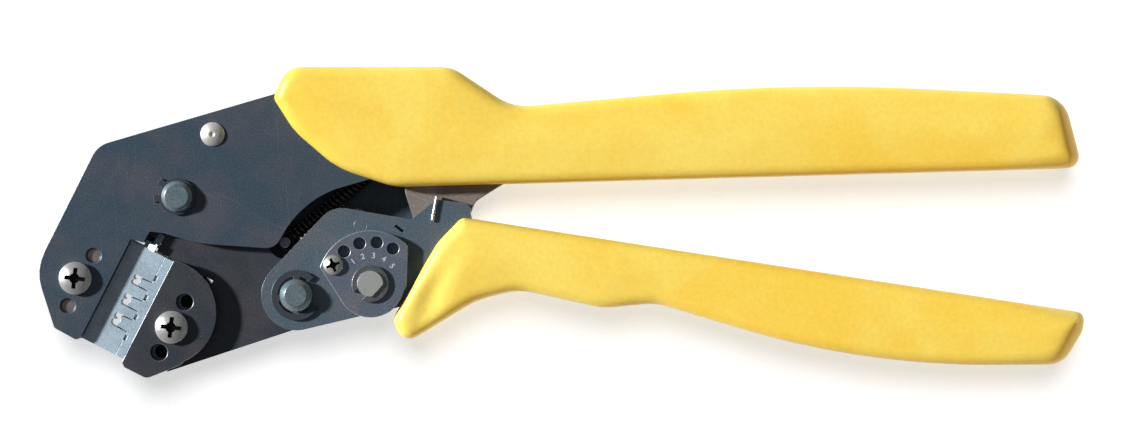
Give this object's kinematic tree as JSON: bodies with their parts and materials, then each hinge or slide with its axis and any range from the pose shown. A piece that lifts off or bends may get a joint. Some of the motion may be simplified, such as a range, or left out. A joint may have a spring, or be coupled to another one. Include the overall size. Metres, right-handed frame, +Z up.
{
  "type": "ratcheting terminal crimping tool",
  "caption": "Ratcheting hand crimping tool for open-barrel terminals, with a replaceable three-nest die set, an adjuster dial and two moulded yellow grips.",
  "frame": {"origin": "centre of the bounding box in X and Y, on the flat undersides of the grips that the tool rests on", "axes": "+X from the jaws along the tool to the handle ends, +Y across the tool towards the frame's handle, +Z up through the plates, from the rear plates to the adjuster"},
  "size_m": [0.2405, 0.0715, 0.0184],
  "materials": {
    "plate_steel": "black oxide on ground tool steel, satin",
    "dark_steel": "black oxide, oiled",
    "bright_steel": "turned and zinc plated",
    "die_steel": "fine ground tool steel",
    "grip": "moulded yellow plastic, satin"
  },
  "bodies": {
    "frame": {"frame_front_plate": "plate_steel", "frame_rear_plate": "plate_steel", "front_anchor_plate": "dark_steel", "rear_anchor_plate": "dark_steel", "anchor_pin": "bright_steel", "upper_handle_spacer": "dark_steel", "upper_handle_rivets": "bright_steel", "upper_grip": "grip", "jaw_pivot_pin": "plate_steel", "jaw_pivot_clips": "dark_steel", "frame_rivet": "bright_steel", "frame_spring_post": "bright_steel", "fixed_die": "die_steel", "fixed_die_screw": "bright_steel", "fixed_die_dowels": "bright_steel", "return_spring": "dark_steel"},
    "jaw": {"moving_jaw": "plate_steel", "jaw_front_cheek": "plate_steel", "jaw_rear_cheek": "plate_steel", "moving_die": "die_steel", "moving_die_screw": "bright_steel", "moving_die_dowels": "bright_steel", "jaw_spring_post": "bright_steel"},
    "handle": {"handle_front_plate": "plate_steel", "handle_rear_plate": "plate_steel", "lower_handle_spacer": "dark_steel", "lower_handle_rivets": "bright_steel", "lower_grip": "grip", "handle_pivot_pin": "plate_steel", "handle_pivot_clips": "dark_steel", "spring_hook": "bright_steel", "pawl_rivet": "plate_steel", "pawl_spring": "bright_steel"},
    "link": {"toggle_link": "dark_steel"},
    "pawl": {"pawl": "dark_steel"},
    "adjuster": {"adjuster_pin": "bright_steel", "adjuster_plate": "plate_steel", "adjuster_lock_screw": "bright_steel", "adjuster_snap_ring": "bright_steel"}
  },
  "joints": [
    {"name": "handle_pivot", "type": "hinge", "parent": "jaw", "child": "handle", "pos_m": [-0.061, -0.0169, 0.009], "axis": [0, 0, -1], "range_deg": [0, 40]},
    {"name": "jaw_pivot", "type": "hinge", "parent": "frame", "child": "jaw", "pos_m": [-0.0884, 0.0058, 0.009], "axis": [0, 0, 1], "range_deg": [0, 9.5], "deforming": ["return_spring"]},
    {"name": "link_pivot", "type": "hinge", "parent": "handle", "child": "link", "pos_m": [-0.0439, -0.0142, 0.009], "axis": [0, 0, 1], "range_deg": [0, 46.5]},
    {"name": "pawl_pivot", "type": "hinge", "parent": "handle", "child": "pawl", "pos_m": [-0.0464, -0.0009, 0.009], "axis": [0, 0, 1], "range_deg": [-20, 20]},
    {"name": "adjuster_turn", "type": "hinge", "parent": "handle", "child": "adjuster", "pos_m": [-0.0439, -0.0142, 0.016], "axis": [0, 0, 1], "range_deg": [0, 96]}
  ],
  "couplings": [
    {"joint": "jaw_pivot", "follows": "handle_pivot", "ratio": 0.237},
    {"joint": "link_pivot", "follows": "handle_pivot", "ratio": 1.16}
  ]
}
